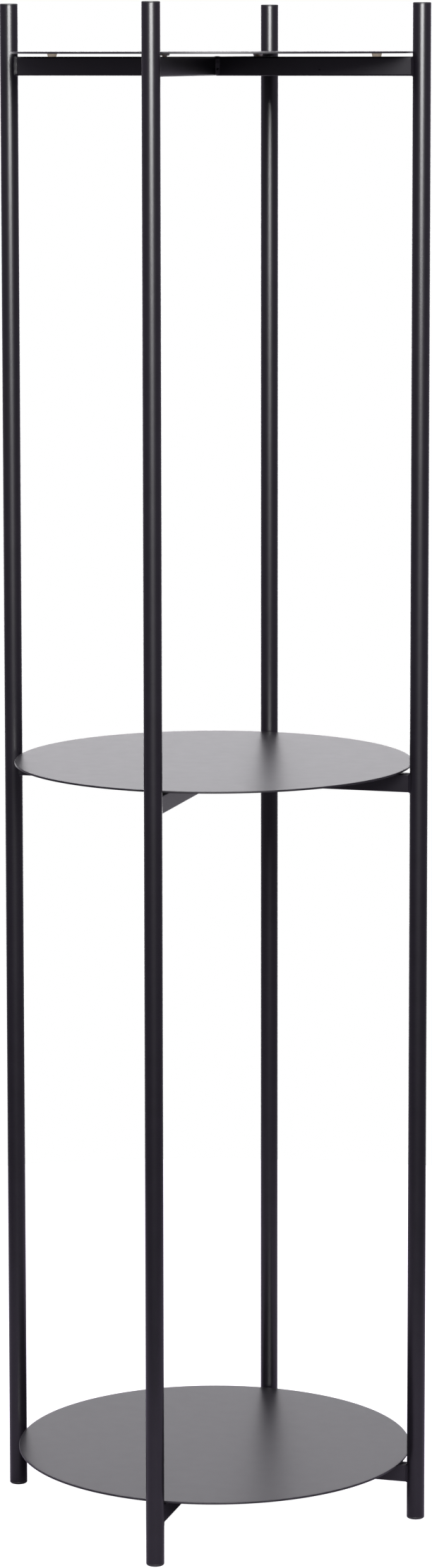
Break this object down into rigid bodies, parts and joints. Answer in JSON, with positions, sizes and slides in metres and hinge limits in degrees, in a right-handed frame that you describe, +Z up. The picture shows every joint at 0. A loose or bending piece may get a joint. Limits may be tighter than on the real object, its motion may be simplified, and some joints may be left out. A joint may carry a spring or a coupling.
{
  "type": "standing coat rack",
  "caption": "Tall free-standing coat rack: round tube posts in a circle, joined by crosses of flat bar that each carry a thin loose round tray; the post tips stand above the top tray.",
  "frame": {"origin": "on the floor, in the middle of the four feet", "axes": "+Z up along the posts; the four posts stand on the X and Y axes, with front at -Y and right at +X; the through bars run along Y"},
  "size_m": [0.469, 0.469, 1.6184],
  "materials": {
    "frame_powder_coat": "satin black powder coat on steel",
    "tray_powder_coat": "smooth satin black powder coat on sheet steel",
    "black_plastic": "moulded, fine matt",
    "amber_rubber": "translucent, satin"
  },
  "bodies": {
    "frame": {"post_front": "frame_powder_coat", "post_right": "frame_powder_coat", "post_back": "frame_powder_coat", "post_left": "frame_powder_coat", "top_cap_front": "black_plastic", "top_cap_right": "black_plastic", "top_cap_back": "black_plastic", "top_cap_left": "black_plastic", "foot_glide_front": "black_plastic", "foot_glide_right": "black_plastic", "foot_glide_back": "black_plastic", "foot_glide_left": "black_plastic", "bottom_cross_through_bar": "frame_powder_coat", "bottom_cross_left_bar": "frame_powder_coat", "bottom_cross_right_bar": "frame_powder_coat", "middle_cross_through_bar": "frame_powder_coat", "middle_cross_left_bar": "frame_powder_coat", "middle_cross_right_bar": "frame_powder_coat", "top_cross_through_bar": "frame_powder_coat", "top_cross_left_bar": "frame_powder_coat", "top_cross_right_bar": "frame_powder_coat", "bottom_bumper_front": "amber_rubber", "bottom_bumper_right": "amber_rubber", "bottom_bumper_back": "amber_rubber", "bottom_bumper_left": "amber_rubber", "middle_bumper_front": "amber_rubber", "middle_bumper_right": "amber_rubber", "middle_bumper_back": "amber_rubber", "middle_bumper_left": "amber_rubber", "top_bumper_front": "amber_rubber", "top_bumper_right": "amber_rubber", "top_bumper_back": "amber_rubber", "top_bumper_left": "amber_rubber"},
    "top_tray_body": {"top_tray": "tray_powder_coat"},
    "middle_tray_body": {"middle_tray": "tray_powder_coat"},
    "bottom_tray_body": {"bottom_tray": "tray_powder_coat"}
  },
  "joints": [
    {"name": "top_tray_lift", "type": "slide", "parent": "frame", "child": "top_tray_body", "axis": [0, 0, 1], "range_m": [0, 0.08]},
    {"name": "middle_tray_lift", "type": "slide", "parent": "frame", "child": "middle_tray_body", "axis": [0, 0, 1], "range_m": [0, 0.72]},
    {"name": "bottom_tray_lift", "type": "slide", "parent": "frame", "child": "bottom_tray_body", "axis": [0, 0, 1], "range_m": [0, 0.72]}
  ]
}
